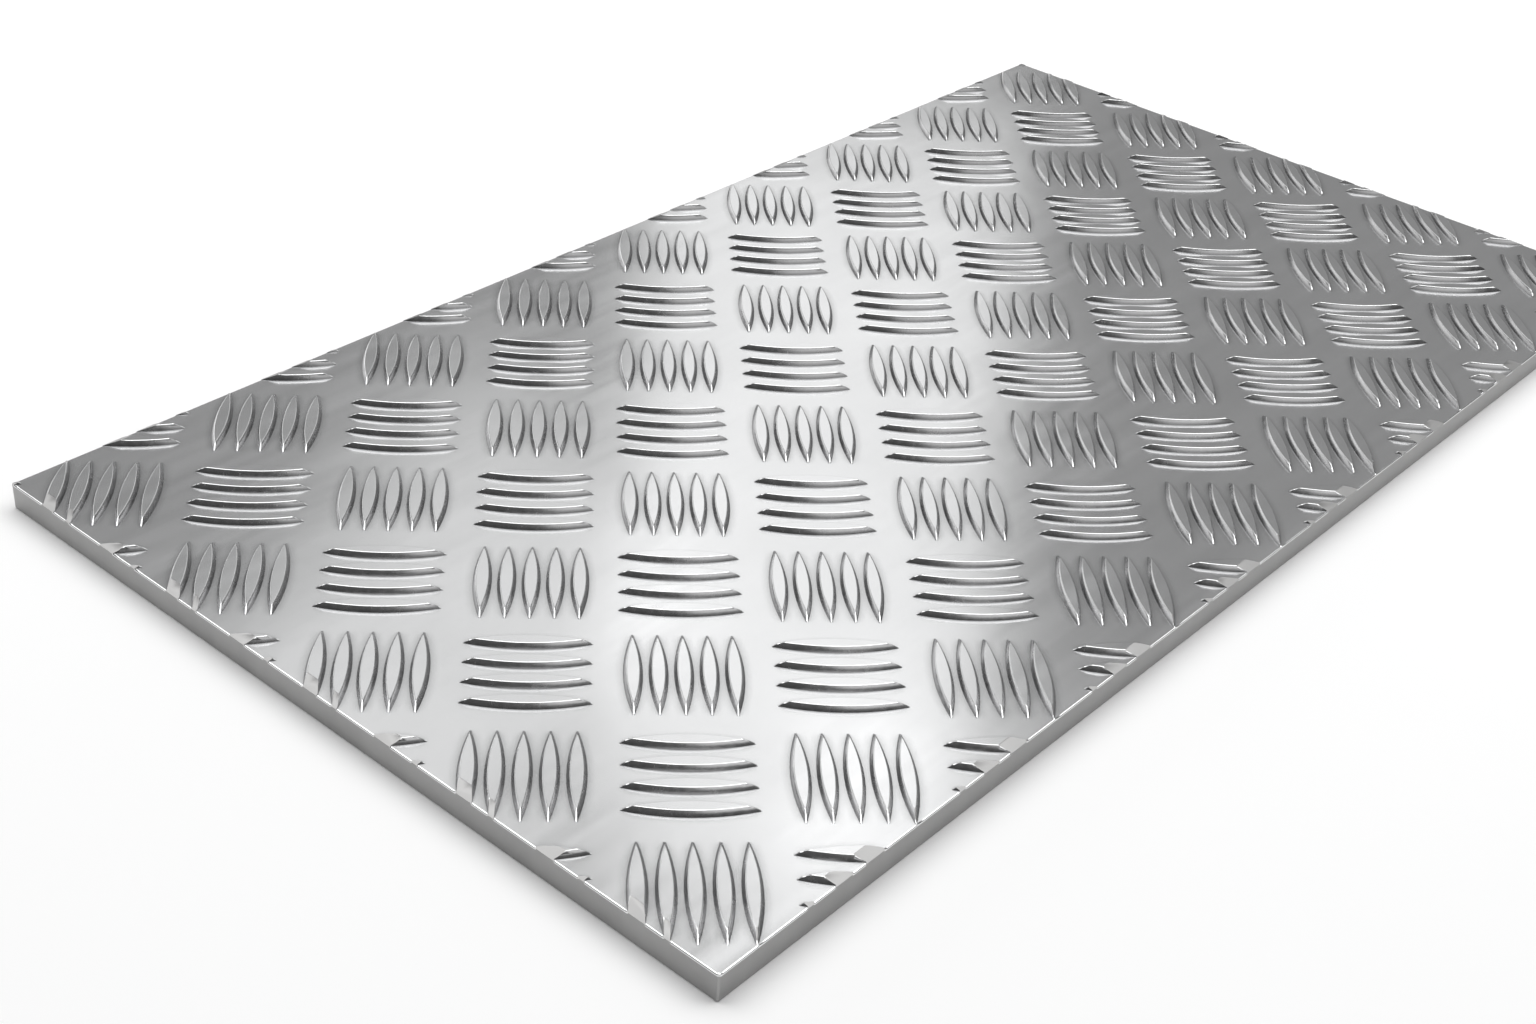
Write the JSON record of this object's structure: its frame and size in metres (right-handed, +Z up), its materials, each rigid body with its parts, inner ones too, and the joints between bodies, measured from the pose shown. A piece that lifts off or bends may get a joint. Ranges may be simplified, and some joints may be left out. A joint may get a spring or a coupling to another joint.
{
  "type": "aluminium checker plate",
  "caption": "Flat rectangle of rolled aluminium checker plate, with raised lens-shaped bars in alternating crosswise groups on its upper face.",
  "frame": {"origin": "middle of the flat underside", "axes": "+X along the long side, +Y along the short side, +Z up out of the patterned face"},
  "size_m": [0.36, 0.2, 0.0072],
  "materials": {
    "aluminium": "bright mill finish with fine rolling marks"
  },
  "bodies": {
    "root": {"checker_plate": "aluminium"}
  },
  "joints": []
}
